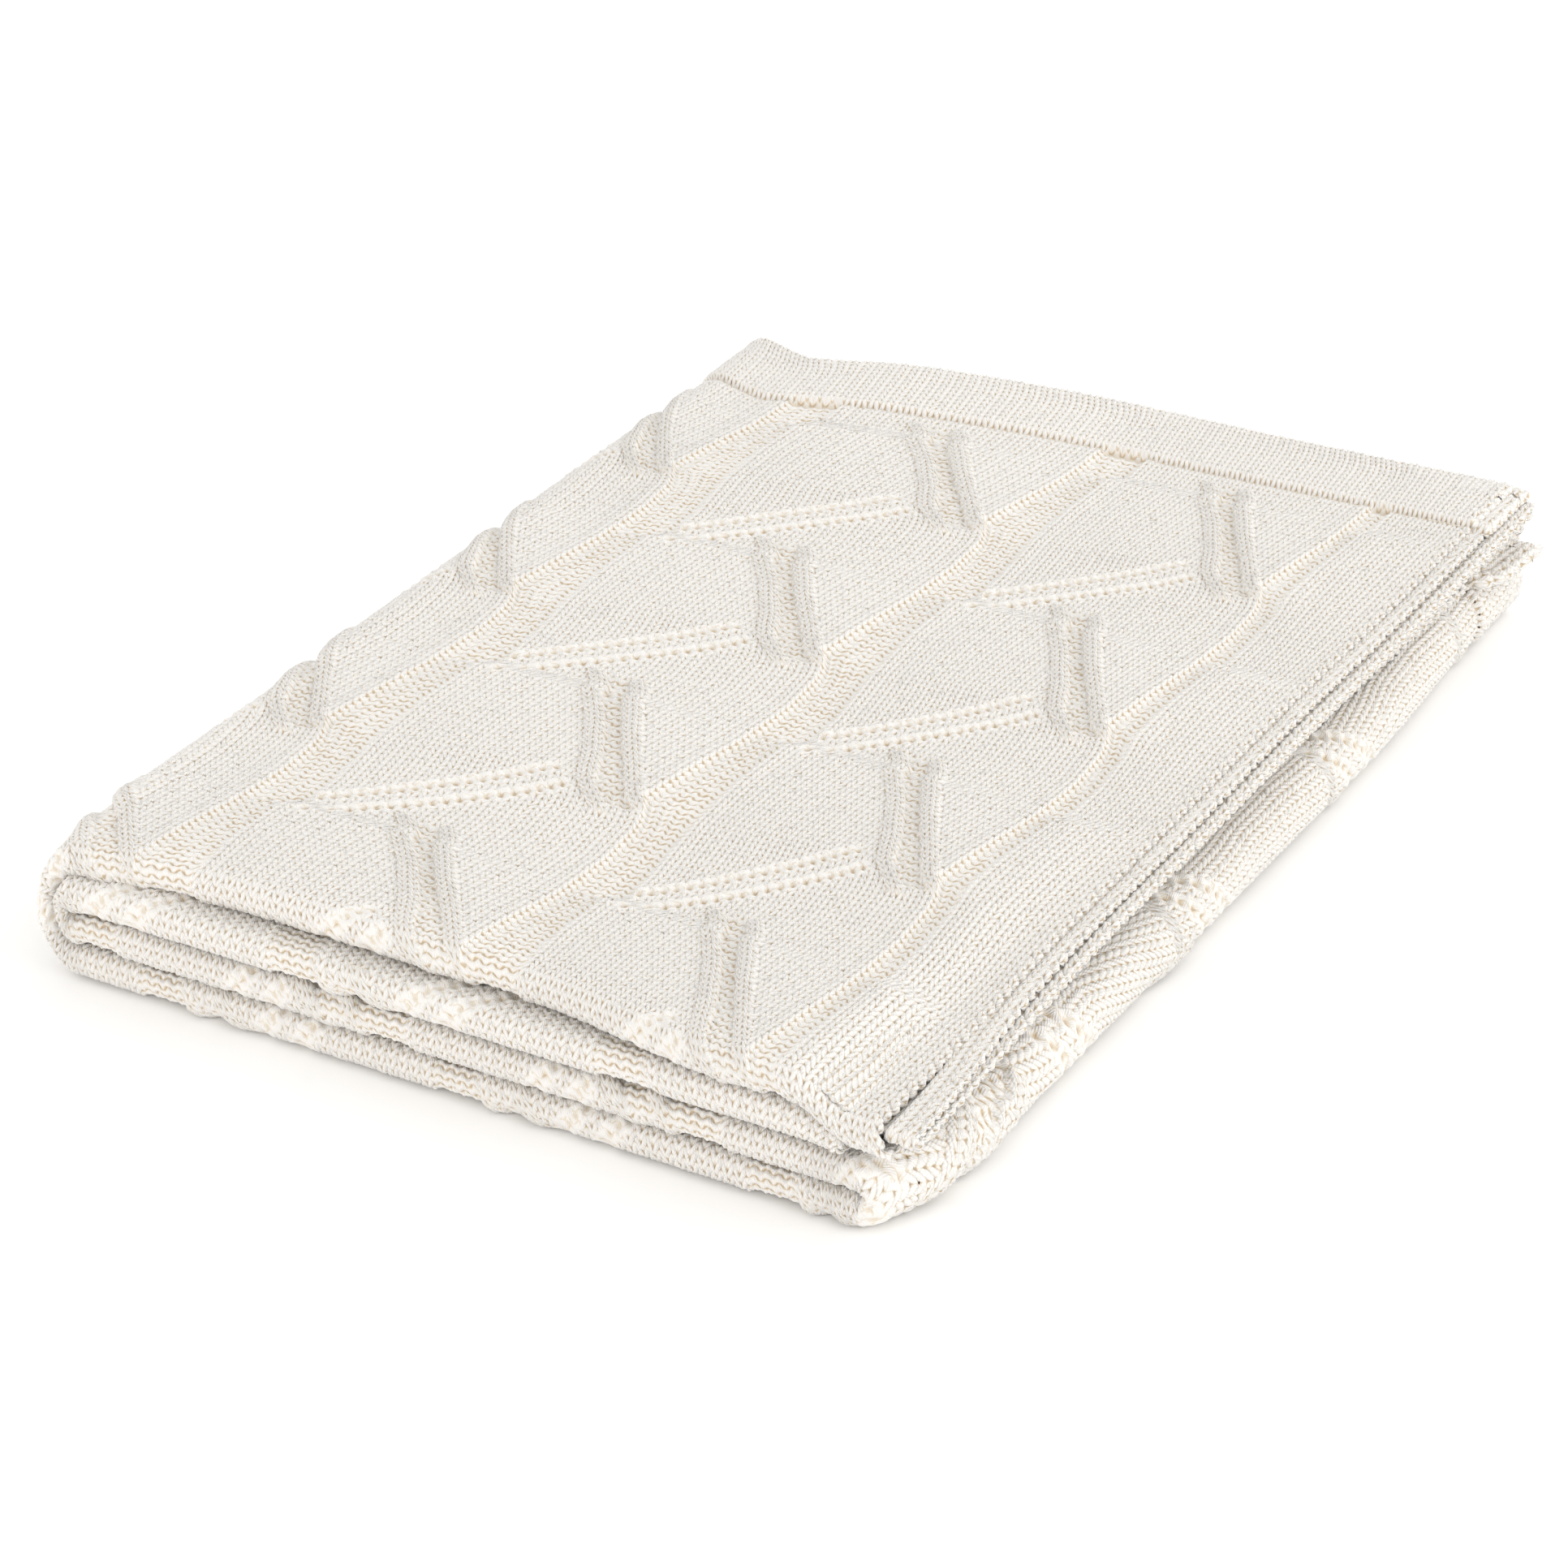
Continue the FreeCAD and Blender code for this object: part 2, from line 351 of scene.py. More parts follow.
# %% [markdown]
# ## Stitches as relief
#
# Plain knitting shows its right side as columns of V shapes. Each V has two legs, and each leg is a fat
# bit of yarn that leans. The reverse side, purl, shows rows of small arches. Both are written as a
# height over the flat sheet. Real geometry is used, not only bump, because the stitches are several
# millimetres wide and catch the light along every edge.

# %% Knit and purl heights
LEG_RISE = 1.5 * MM
PURL_RISE = 1.2 * MM
LEAN = 1.0  # courses a leg climbs across half a wale
STITCH_FALL = 0.55  # drop between legs and between stitches
LEG_POWER = 2.4
TURN_POWER = 2.6
ARCH_WAVE = 0.2  # swing of a purl row, in courses
ARCH_POWER = 1.8
MARGIN = 20  # stitches beyond the sheet
rng = np.random.default_rng(7)
UNEVEN = rng.normal(0, 1, (WALES + 2 * MARGIN, COURSES + 2 * MARGIN))


def unevenness(wale, course):
    """A small random number for each stitch, the same every time."""
    i = np.clip(np.floor(wale).astype(int) + MARGIN, 0, WALES + 2 * MARGIN - 1)
    j = np.clip(np.floor(course).astype(int) + MARGIN, 0, COURSES + 2 * MARGIN - 1)
    return UNEVEN[i, j]


def knit(wale, course):
    """Height of plain knitting, 0 to 1: two leaning legs in each wale."""
    side = np.abs(np.mod(wale, 1) - 0.5) * 2
    leg = np.abs(side - 0.5) * 2
    turn = np.abs(np.mod(course - LEAN * side, 1) - 0.5) * 2
    heart = 0.12 * np.exp(-(side / 0.3) ** 2)
    falls = 1 - STITCH_FALL * leg ** LEG_POWER - STITCH_FALL * turn ** TURN_POWER
    return np.clip(falls, 0, 1) + heart


def purl(wale, course):
    """Height of the reverse side, 0 to 1: rows of arches that interlock."""
    wave = ARCH_WAVE * np.cos(2 * math.pi * wale)
    across_row = np.mod(course + wave, 1) - 0.5
    ridge = 1 - (np.abs(across_row) * 2) ** ARCH_POWER
    return np.clip(0.15 + 0.85 * ridge, 0, 1) * (0.78 + 0.22 * np.cos(4 * math.pi * wale))


# %% [markdown]
# ## Cables and bands
#
# Each panel repeats one figure: a pair of raised ribs runs down to the right, and a slanting band runs
# from the panel's left border up to the foot of the left rib. On the real throw the ribs are travelling
# cables, and the band is two rows of small holes made by carrying stitches over. Ribs are written by
# their middle line, with a distance across and along, so that the V stitches can follow the rib instead
# of the sheet. In the band, each row is a string of pits with a low ridge on both sides.

# %% Rib and band lines
LEFT_RIB = ([3, 13, 19, 25.5, 28.5], [7.0, 12.4, 15.2, 17.7, 18.9])
RIGHT_RIB = ([3, 13.5, 19, 23, 26.5], [10.6, 15.6, 18.6, 20.8, 22.1])
RIB_HALF = 3.3 * MM
RIB_RISE = 1.8 * MM
RIB_SLOPE = math.atan2(0.46 * WALE, COURSE)
BAND_START = np.array([0.6 * WALE, 42.8 * COURSE])
BAND_END = np.array([15.3 * WALE, 23.4 * COURSE])
BAND_ROW = 5.0 * MM  # from the middle of the band to each row of holes
BAND_BEAT = 1.02 * WALE  # from one hole to the next
BESIDE_ROW = 2.4 * MM
RIB_STITCH = 1.05 * COURSE


def rib(line, w, v):
    """Distance across a rib from its middle, distance along it, and 1 where the rib is."""
    middle = np.interp(v, *line)
    p = (w - middle) * WALE * math.cos(RIB_SLOPE)
    q = v * COURSE / math.cos(RIB_SLOPE)
    start, end = line[0][0], line[0][-1]
    rising = smooth(start - 0.6, start + 1.2, v)
    falling = smooth(end - 0.8, end + 0.8, v)
    return p, q, rising * (1 - falling)


def rib_relief(p, q, live):
    """Height of a rib above the panel, and a 0 to 1 mask."""
    inside = np.clip(1 - (p / RIB_HALF) ** 2, 0, 1)
    body = inside ** 0.5 * live
    cord = knit(p / RIB_HALF + 0.5, q / RIB_STITCH)
    height = body * RIB_RISE + body * (cord - 0.7) * 1.6 * MM
    return height, smooth(0, 0.3, inside) * live


def band_relief(w, v):
    """Height of the slanting band of holes, and a 0 to 1 mask that covers its two rows."""
    lane = BAND_END - BAND_START
    length = math.hypot(*lane)
    ex, ey = lane / length
    px, py = w * WALE - BAND_START[0], v * COURSE - BAND_START[1]
    q = px * ex + py * ey
    p = px * ey - py * ex
    live = smooth(-2 * MM, 1.5 * MM, q) * (1 - smooth(length - 3 * MM, length + 1 * MM, q))
    beat = 2 * math.pi * q / BAND_BEAT
    height = np.zeros_like(w)
    mask = np.zeros_like(w)
    for row, phase in ((p - BAND_ROW, 0.0), (p + BAND_ROW, 2.2)):
        dots = np.exp(-(row / (1.4 * MM)) ** 2)
        height -= dots * (0.45 + 0.8 * np.cos(beat + phase)) * MM
        for beside in (row - BESIDE_ROW, row + BESIDE_ROW):
            ridge = np.exp(-(beside / (1.2 * MM)) ** 2)
            height += ridge * (0.55 - 0.35 * np.cos(beat + phase)) * MM
        mask = np.maximum(mask, np.exp(-(row / (3.2 * MM)) ** 4) * live)
    return height * live, mask


# %% [markdown]
# ## The whole relief
#
# One function now answers for any stitch on the sheet: how high its surface stands over the middle of
# the ply, and how deep it sits between yarns. The second number colours the holes. Light that bounces
# about between cream yarns comes out tan.

# %% Relief of the sheet
CHANNEL_DROP = 1.3 * MM
BORDER_RISE = 0.45 * MM
ROLL_END = (155, 160)  # courses over which the pattern is full again after the front roll
HEM_RISE = 1.3 * MM
SHADE_DROP = 1.3 * MM  # the groove where the body meets a hem band
CALM_RISE = 0.8 * MM  # ground under ribs and bands, where there are no small stitches
GAP_DROP = 1.0 * MM  # purl ground between the two ribs of a pair


def panel_relief(wale, course):
    """The figured middle of the sheet: heights, masks, and the ruler that each point follows."""
    local = np.mod(wale - FIRST_PANEL, REPEAT)
    panel = local < PANEL
    w = PANEL - local
    v = row_of(course)
    thin = (wale >= EDGE) & (wale < FIRST_PANEL)
    plain_edge = (wale < EDGE) | (wale > LAST_PANEL_END)
    middle = (local - PANEL - CHANNEL / 2) / (CHANNEL / 2)
    sunk = np.where(panel, 0.0, np.clip(1.35 - np.abs(middle) ** 4, 0, 1))
    sunk = np.where(thin, np.clip(1.3 - np.abs(wale - EDGE - 1) ** 2, 0, 1), sunk)
    sunk = np.where(plain_edge, 0.0, sunk)
    big = -CHANNEL_DROP * sunk
    live_panel = panel & ~plain_edge & ~thin
    border = np.exp(-((w - 0.5) / 0.55) ** 2) + np.exp(-((w - PANEL + 0.5) / 0.55) ** 2)
    big = big + np.where(live_panel, BORDER_RISE * np.clip(border, 0, 1), 0.0)
    cord = np.zeros_like(wale)
    calm = np.zeros_like(wale)
    kind = np.zeros(wale.shape, int)
    rulers = [np.stack([wale, course], -1)]
    for shift, first in ((0.0, HEM), (ROW, HEM + ROW)):
        height, mask = band_relief(w, v + shift)
        here = live_panel & (course >= first)
        cord += np.where(here, height, 0)
        calm = np.maximum(calm, np.where(here, mask, 0))
    banded = calm.copy()
    pl, ql, live_l = rib(LEFT_RIB, w, v)
    pr, qr, live_r = rib(RIGHT_RIB, w, v)
    between = (pl > 0) & (pr < 0)
    gap = np.where(between & live_panel, np.minimum(live_l, live_r), 0)
    for number, (p, q, live) in enumerate(((pl, ql, live_l), (pr, qr, live_r)), 1):
        height, mask = rib_relief(p, q, live)
        ok = live_panel if number == 1 else (live_panel | (~panel & (w > -1)))
        mask = np.where(ok, mask, 0)
        cord = cord * (1 - mask) + np.where(ok, height, 0)
        calm = np.maximum(calm, mask)
        banded = banded * (1 - mask)
        gap = gap * (1 - mask)
        kind[mask > 0.5] = number
        rulers.append(np.stack([p / RIB_HALF + 0.5, q / RIB_STITCH], -1))
    purl_share = np.clip(np.maximum(np.where(panel, 0, sunk), gap), 0, 1)
    purl_share = np.where(thin, sunk, purl_share)
    big = big - gap * GAP_DROP
    return big, cord, calm, purl_share, banded, kind, np.stack(rulers)


def relief(wale, course):
    """Height over the middle of the ply in metres, then what the finish needs: weights and rulers."""
    inner_wale = np.clip(wale, 0, WALES)
    big, cord, calm, purl_share, banded, kind, rulers = panel_relief(inner_wale, course)
    last_row = COURSES - HEM
    past_first_hem = smooth(HEM - 0.4, HEM + 0.2, course)
    in_hem = 1 - past_first_hem * (1 - smooth(last_row - 0.2, last_row + 0.4, course))
    off = 1 - in_hem
    big, cord, calm = big * off, cord * off, calm * off
    purl_share, banded = purl_share * off, banded * off
    kind = np.where(off > 0.5, kind, 0)
    rulers[0] = np.stack([wale, course], -1)
    rolled = smooth(TURN_COURSES[1] - 9, TURN_COURSES[1] - 1, course) * (1 - smooth(*ROLL_END, course))
    big, cord = big * (1 - 0.55 * rolled), cord * (1 - 0.35 * rolled)
    shade_line = np.exp(-((course - HEM - 0.55) / 0.5) ** 2)
    shade_line = shade_line + np.exp(-((course - COURSES + HEM + 0.55) / 0.5) ** 2)
    v = course + 0.05 * unevenness(wale, course)
    plain = knit(wale, v)
    back = purl(wale, v)
    stitch = plain * (1 - purl_share) + back * purl_share * (PURL_RISE / LEG_RISE)
    stitch = stitch * (1 + 0.07 * unevenness(wale, course))
    small = stitch * LEG_RISE * (1 - calm)
    height = PLY / 2 - LEG_RISE + small + big + cord + calm * CALM_RISE + in_hem * HEM_RISE
    height -= shade_line * SHADE_DROP * (1 - calm)
    # painted shade: tan in the holes of the bands, in the groove under each hem, in the purl channels and
    # along the feet of the ribs
    pit_shade = banded * np.clip(-cord / (1.1 * MM) - 0.1, 0, 1) + 0.3 * shade_line * (1 - calm)
    rib_edge = np.clip(1 - np.abs(calm - banded - 0.4) / 0.4, 0, 1)
    pit_shade = np.clip(pit_shade + 0.1 * purl_share + 0.25 * rib_edge, 0, 1)
    knitted = (1 - banded) * (1 - purl_share)
    purled = purl_share * (1 - banded) + 0.5 * banded
    return height, np.stack([pit_shade, knitted, purled], -1), kind, rulers


sample_w, sample_c = np.meshgrid(np.linspace(20, 46, 60), np.linspace(11, 47, 60))
sample_height = relief(sample_w, sample_c)[0]
print("relief in mm over the middle of the ply", sample_height.min() / MM, sample_height.max() / MM)

# %% [markdown]
# ## Edges that turn
#
# A knitted edge is round. Wale numbers below 0 mean: go round the edge and back along the reverse side.
# The same trick works at the hems with course numbers. So one grid can carry the front of the cloth,
# its edge and some of its back with no seam.

# %% Edge rolling
EDGE_RADIUS = PLY / 2
SELVAGE_RISE = 1.3 * MM


def round_edge(number, last, size, height):
    """Rolls a wale or course number round the edge. Returns the number to place it at, and its lift."""
    outside = np.where(number < 0, -number, np.where(number > last, number - last, 0.0)) * size
    angle = np.minimum(outside / EDGE_RADIUS, math.pi)
    inward = np.maximum(outside - math.pi * EDGE_RADIUS, 0.0)
    shift = (inward - np.sin(angle) * height) / size
    placed = np.where(number < 0, shift, np.where(number > last, last - shift, number))
    return placed, np.cos(angle)


def selvage_relief(wale, course):
    """The chain that finishes each side: fat leaning loops, one every one or two courses."""
    distance = np.minimum(np.abs(wale + 0.45), np.abs(wale - WALES - 0.45))
    chain = np.exp(-(distance / 0.95) ** 4)
    loop = np.abs(np.sin(math.pi * (course / 1.6 + 0.5 * wale)))
    return chain * (loop ** 0.8 - 0.35) * 1.5 * SELVAGE_RISE, chain


# %% [markdown]
# ## Lying on a table
#
# A real stack is not a block. The top package lies a little further back than the one below it, droops
# over the corner where the second package stops short, and its layers step out at the right. These
# small moves are what make it look folded by hand. Steps are in millimetres at a few courses.

# %% Hand-folded irregularity
TOP_EDGE_STEPS = ([0, 120, 143, 148, 175, 288, 293, 415, 434, 437, 460, 580],
                  [0.0, 0.0, -2.5, 3.0, 7.0, 7.0, 9.0, 9.0, 10.0, 10.0, 6.0, 5.0])
SECOND_EDGE_STEPS = ([-2, 8, 12, 143, 148, 290, 293, 434, 437, 580],
                     [7.0, 6.0, -1.5, -1.0, 1.0, 1.5, 0.0, 0.5, 0.5, -2.0])
FRONT_SET_BACK = 9.0 * MM
BACK_PULL = -16.0 * MM
EDGE_DROOP = 10.0 * MM
CORNER_TUCK = 9.0 * MM
LEFT_CORNER_TUCK = 6.0 * MM
LEFT_PRESS = 3.0 * MM
FAR_CORNER_TUCK = 6.0 * MM
LEFT_FALL = -5.0 * MM
X_WAVE = 0.9 * MM
CORNER_LENGTH = 0.045


def lay(x, y, z, wale, course, section):
    """Moves points from the plain folded stack to the stack as it lies."""
    top = np.clip((FRONT_STATIONS[0] + 6 - wale) / 10, 0, 1)
    in_front = 1 - smooth(0.0, 0.09, y - FRONT_Y)
    set_back = FRONT_SET_BACK * (1 - smooth(0.03, 0.105, x))
    y = y + top * in_front * set_back
    near_back = smooth(0.02, 0.2, y)
    pulled_in = BACK_PULL * (1 - smooth(-0.16, 0.02, x))
    y = y + top * near_back * pulled_in
    uncovered = smooth(-0.018, 0.004, x - second_edge(y))
    toward_front = 1 - smooth(-0.2275, -0.02, y)
    step = np.interp(course, *TOP_EDGE_STEPS) * MM * np.clip(1 - wale / 16, 0, 1)
    x = x + np.where(section == 0, step, 0)
    pressed = 0.5 * uncovered * toward_front * np.maximum(z - PACKAGE["second"], 0)
    z = z - np.where(section == 6, pressed, 0)
    plies_below = smooth(146, 150, course) + smooth(288, 292, course)
    inner_lift = plies_below * np.clip(1 - wale / 12, 0, 1) * MM
    z = z + np.where(section == 0, inner_lift, 0)
    step = np.interp(course, *SECOND_EDGE_STEPS) * MM * np.clip(1 - (WALES - wale) / 14, 0, 1)
    x = x + np.where(section == 6, step, 0)
    droop = EDGE_DROOP * uncovered * toward_front
    z = z - np.where(section == 0, droop, 0)
    corner = 1 - smooth(0.0, CORNER_LENGTH, y - FRONT_Y)
    below = np.where((section > 1) & (section < 5), 1, 0)
    x = x - CORNER_TUCK * corner ** 1.5 * smooth(0.13, 0.17, x) * below
    x = x + (LEFT_CORNER_TUCK * corner ** 1.5 + LEFT_PRESS) * smooth(0.14, 0.172, -x)
    far_corner = smooth(0.09, 0.22, y) * smooth(0.12, 0.172, x)
    x = x - FAR_CORNER_TUCK * far_corner * below
    level = np.clip(z / cad_high[2], 0, 1)
    x_wave = X_WAVE * np.sin(y * 31.0 + z * 60) * level
    swell = 0.8 * np.sin(x * 24.0 + 0.6) * np.cos(y * 17.0 - 0.4)
    z_wave = (swell - 0.5 * np.cos(y * 43.0 + x * 11)) * MM * level
    left_fall = LEFT_FALL * smooth(0.075, 0.155, -x) * top
    return x + x_wave * 0.6, y, z + z_wave + left_fall


def place(wale, course):
    """Where a stitch lies in the folded stack, with what the finish needs there."""
    height, weights, kind, rulers = relief(wale, course)
    chain_height, chain = selvage_relief(wale, course)
    height = height * (1 - 0.25 * chain) + chain_height
    wale_at, lift_w = round_edge(wale, WALES, WALE, height)
    course_at, lift_c = round_edge(course, COURSES, COURSE, height)
    lift = height * lift_w * lift_c
    y, depth, face_y, face_depth = along(course_at)
    y = y + face_y * lift
    depth = depth + face_depth * lift
    wale_at = wale_at - drift(wale_at, course_at) / WALE
    outermost = 1 - smooth(TURN_COURSES[1] - 1, TURN_COURSES[1] + 1, course_at)
    x, z, section = across(wale_at, depth, y, outermost)
    x, y, z = lay(x, y, z, wale_at, course_at, section)
    return np.stack([x, y, np.maximum(z, 0.0)], -1), weights, kind, rulers


# %% [markdown]
# ## Cotton yarn
#
# The yarn is soft, thick, loosely twisted cotton in a warm white. Two things carry its look: the tops of
# the stitches are nearly white and matt with a soft bloom, and the pits between them are painted tan, as
# painted shade for the light that bounces between the yarns. The yarn's twist is too fine for the mesh, so
# it is a bump that follows the stitches through the UV map. The group repeats the V and the arch, so that
# colour and relief agree.

# %% The yarn group
def new_group(name, inputs, outputs):
    """An empty shader group with float inputs (name, default) and outputs (name, socket type)."""
    group = bpy.data.node_groups.new(name, "ShaderNodeTree")
    for label, value in inputs:
        socket = group.interface.new_socket(label, in_out="INPUT", socket_type="NodeSocketFloat")
        socket.default_value = value
    for label, kind in outputs:
        group.interface.new_socket(label, in_out="OUTPUT", socket_type=kind)
    return group, group.nodes.new("NodeGroupInput"), group.nodes.new("NodeGroupOutput")


# YARN_LIGHT is the yarn's own cream. The two tans after it are painted shade: the tan of light bounced
# between the yarns, laid into the pits by the ramp.
YARN_LIGHT = (0.870, 0.851, 0.824, 1.0)
PIT_SHADE_MIDDLE = (0.800, 0.730, 0.625, 1.0)
PIT_SHADE_DEEP = (0.600, 0.475, 0.330, 1.0)
PIT_SHADE_START = 0.62  # stitch height below which the yarn looks tan
PIT_SHADE_CONTRAST = 2.4


class Sums:
    """Writes arithmetic as math nodes. Numbers and sockets can be mixed."""

    def __init__(self, tree):
        self.tree = tree

    def __call__(self, operation, *terms):
        node = self.tree.nodes.new("ShaderNodeMath")
        node.operation = operation
        for socket, term in zip(node.inputs, terms):
            if isinstance(term, (int, float)):
                socket.default_value = term
            else:
                self.tree.links.new(term, socket)
        return node.outputs["Value"]

    def fold(self, term):
        """Distance from the middle of each whole step, scaled to run from 0 to 1."""
        part = self("SUBTRACT", self("FRACT", term), 0.5)
        return self("MULTIPLY", self("ABSOLUTE", part), 2.0)


def yarn_group():
    """Colour with painted pit shade, roughness and height of the stitches, from the stitch ruler and the
    stitch mix and painted pit shade stored at each point.
    """
    group, inside, outside = new_group(
        "cotton_yarn",
        [("Extra pit shade", 0.0)],
        [("Color", "NodeSocketColor"), ("Roughness", "NodeSocketFloat"), ("Height", "NodeSocketFloat")],
    )
    nodes, links = group.nodes, group.links
    sums = Sums(group)
    ruler = nodes.new("ShaderNodeUVMap")
    ruler.uv_map = "stitches"
    count = nodes.new("ShaderNodeSeparateXYZ")
    links.new(ruler.outputs["UV"], count.inputs["Vector"])
    wale, course = count.outputs["X"], count.outputs["Y"]
    stitch_mix_and_pit_shade = nodes.new("ShaderNodeAttribute")
    stitch_mix_and_pit_shade.attribute_name = "stitch_mix_and_pit_shade"
    share = nodes.new("ShaderNodeSeparateXYZ")
    links.new(stitch_mix_and_pit_shade.outputs["Vector"], share.inputs["Vector"])
    pit_shade, knitted, purled = share.outputs["X"], share.outputs["Y"], share.outputs["Z"]

    def noise(scale):
        node = nodes.new("ShaderNodeTexNoise")
        node.inputs["Scale"].default_value = scale
        node.inputs["Detail"].default_value = 4.0
        links.new(ruler.outputs["UV"], node.inputs["Vector"])
        return node.outputs["Fac"]

    uneven = sums("MULTIPLY", sums("SUBTRACT", noise(0.9), 0.5), 0.5)
    course = sums("ADD", course, uneven)

    side = sums.fold(wale)
    leg = sums("MULTIPLY", sums("ABSOLUTE", sums("SUBTRACT", side, 0.5)), 2.0)
    step = sums("SUBTRACT", course, sums("MULTIPLY", side, LEAN))
    turn = sums.fold(step)
    leg_fall = sums("MULTIPLY", sums("POWER", leg, LEG_POWER), STITCH_FALL)
    turn_fall = sums("MULTIPLY", sums("POWER", turn, TURN_POWER), STITCH_FALL)
    plain = sums("SUBTRACT", sums("SUBTRACT", 1.0, leg_fall), turn_fall)

    wave = sums("MULTIPLY", sums("COSINE", sums("MULTIPLY", wale, 2 * math.pi)), ARCH_WAVE)
    arch = sums.fold(sums("ADD", course, wave))
    back = sums("SUBTRACT", 1.0, sums("POWER", arch, ARCH_POWER))
    dimple = sums("MULTIPLY", sums("COSINE", sums("MULTIPLY", wale, 4 * math.pi)), 0.14)
    back = sums("ADD", sums("ADD", sums("MULTIPLY", back, 0.62), 0.22), dimple)

    rest = sums("SUBTRACT", 1.0, sums("ADD", knitted, purled))
    relief_sum = sums("ADD", sums("MULTIPLY", plain, knitted), sums("MULTIPLY", back, purled))
    relief_sum = sums("ADD", relief_sum, sums("MULTIPLY", rest, 0.65))

    # painted shade: the lower the stitch, and the more painted pit shade and extra pit shade, the more tan
    # the yarn
    depth = sums("MULTIPLY", sums("SUBTRACT", PIT_SHADE_START, relief_sum), PIT_SHADE_CONTRAST)
    depth = sums("ADD", sums("MAXIMUM", depth, 0.0), pit_shade)
    depth = sums("ADD", sums("ADD", depth, uneven), inside.outputs["Extra pit shade"])

    ramp = nodes.new("ShaderNodeValToRGB")
    ramp.color_ramp.interpolation = "EASE"
    stops = ramp.color_ramp.elements
    stops[0].position, stops[0].color = 0.08, YARN_LIGHT
    stops[1].position, stops[1].color = 1.0, PIT_SHADE_DEEP
    stops.new(0.45).color = PIT_SHADE_MIDDLE
    links.new(depth, ramp.inputs["Fac"])
    links.new(ramp.outputs["Color"], outside.inputs["Color"])
    rough = nodes.new("ShaderNodeMapRange")
    rough.inputs["To Min"].default_value = 0.72
    rough.inputs["To Max"].default_value = 0.96
    links.new(depth, rough.inputs["Value"])
    links.new(rough.outputs["Result"], outside.inputs["Roughness"])

    strand = sums("SINE", sums("MULTIPLY", sums("ADD", sums("MULTIPLY", side, 3.0), step), 4 * math.pi))
    fine = sums("ADD", sums("MULTIPLY", strand, 0.10), sums("MULTIPLY", noise(8.0), 0.35))
    links.new(sums("ADD", relief_sum, fine), outside.inputs["Height"])
    return group


YARN = yarn_group()


def cotton(name, extra_pit_shade, rise):
    """A cotton material: the yarn group into a matt shader with a soft bloom."""
    material = bpy.data.materials.new(name)
    material.use_nodes = True
    nodes, links = material.node_tree.nodes, material.node_tree.links
    shader = nodes["Principled BSDF"]
    shader.inputs["Sheen Weight"].default_value = 0.2
    shader.inputs["Sheen Roughness"].default_value = 0.5
    shader.inputs["Specular IOR Level"].default_value = 0.3
    yarn = nodes.new("ShaderNodeGroup")
    yarn.node_tree = YARN
    # extra painted shade for the pits
    yarn.inputs["Extra pit shade"].default_value = extra_pit_shade
    bump = nodes.new("ShaderNodeBump")
    bump.inputs["Strength"].default_value = 0.75
    bump.inputs["Distance"].default_value = rise
    links.new(yarn.outputs["Height"], bump.inputs["Height"])
    links.new(yarn.outputs["Color"], shader.inputs["Base Color"])
    links.new(yarn.outputs["Roughness"], shader.inputs["Roughness"])
    links.new(bump.outputs["Normal"], shader.inputs["Normal"])
    return material


# The second number is extra painted shade in the pits: more on the selvage strips, which lie in shaded
# slots between the plies, less on the hem.
FINISH = {
    "cable_knit": cotton("cable_knit_cotton", 0.0, 0.9 * MM),
    "knit_hem": cotton("plain_hem_cotton", -0.04, 0.8 * MM),
    "knit_selvage": cotton("chain_selvage_cotton", 0.03, 0.9 * MM),
}
print("finishes", sorted(FINISH))

# %% [markdown]
# ## Cutting the sheet into pieces
#
# A grid of points is made over a window of the sheet, every point is placed in the stack, and the grid
# becomes a mesh. The window says how fine the grid is: many points where the cloth is seen close up, few
# where it is hidden. Folds sculpted by hand would break the run of the stitches.

# %% Piece maker
made = []


def grid_piece(name, points, weights, kind, rulers, slot):
    """A mesh of quads over a grid of points. Each quad takes the ruler of the cloth or of its rib."""
    rows, columns = points.shape[:2]
    index = np.arange(rows * columns).reshape(rows, columns)
    quads = np.stack([index[:-1, :-1], index[1:, :-1], index[1:, 1:], index[:-1, 1:]], -1).reshape(-1, 4)
    mesh = bpy.data.meshes.new(name)
    mesh.vertices.add(rows * columns)
    mesh.vertices.foreach_set("co", points.astype(np.float32).ravel())
    mesh.loops.add(quads.size)
    mesh.loops.foreach_set("vertex_index", quads.astype(np.int32).ravel())
    mesh.polygons.add(len(quads))
    mesh.polygons.foreach_set("loop_start", np.arange(0, quads.size, 4, dtype=np.int32))
    mesh.polygons.foreach_set("loop_total", np.full(len(quads), 4, np.int32))
    mesh.polygons.foreach_set("use_smooth", np.ones(len(quads), bool))
    mesh.update(calc_edges=True)
    layer = mesh.uv_layers.new(name="stitches")
    which = np.repeat(kind.ravel()[quads[:, 0]], 4)
    layer.data.foreach_set("uv", rulers.reshape(3, -1, 2)[which, quads.ravel()].astype(np.float32).ravel())
    # first channel: painted pit shade; then the shares of knit and purl
    stitch_mix_and_pit_shade = mesh.attributes.new("stitch_mix_and_pit_shade", "FLOAT_VECTOR", "POINT")
    stitch_mix_and_pit_shade.data.foreach_set("vector", weights.astype(np.float32).ravel())
    mesh.materials.append(FINISH[slot])
    piece = bpy.data.objects.new(name, mesh)
    bpy.context.scene.collection.objects.link(piece)
    made.append((name, 2 * len(quads)))
    return piece


OUTER_MIDDLE = (FRONT_STATIONS[0] + FRONT_STATIONS[1]) / 2
INNER_MIDDLE = (FRONT_STATIONS[4] + FRONT_STATIONS[5]) / 2


def level_cut(wale, course):
    """The stitches that lie where this wale would lie if nothing drifted."""
    drifted = wale + 0 * course
    for _ in range(3):
        drifted = wale + drift(drifted, course) / WALE
    return drifted


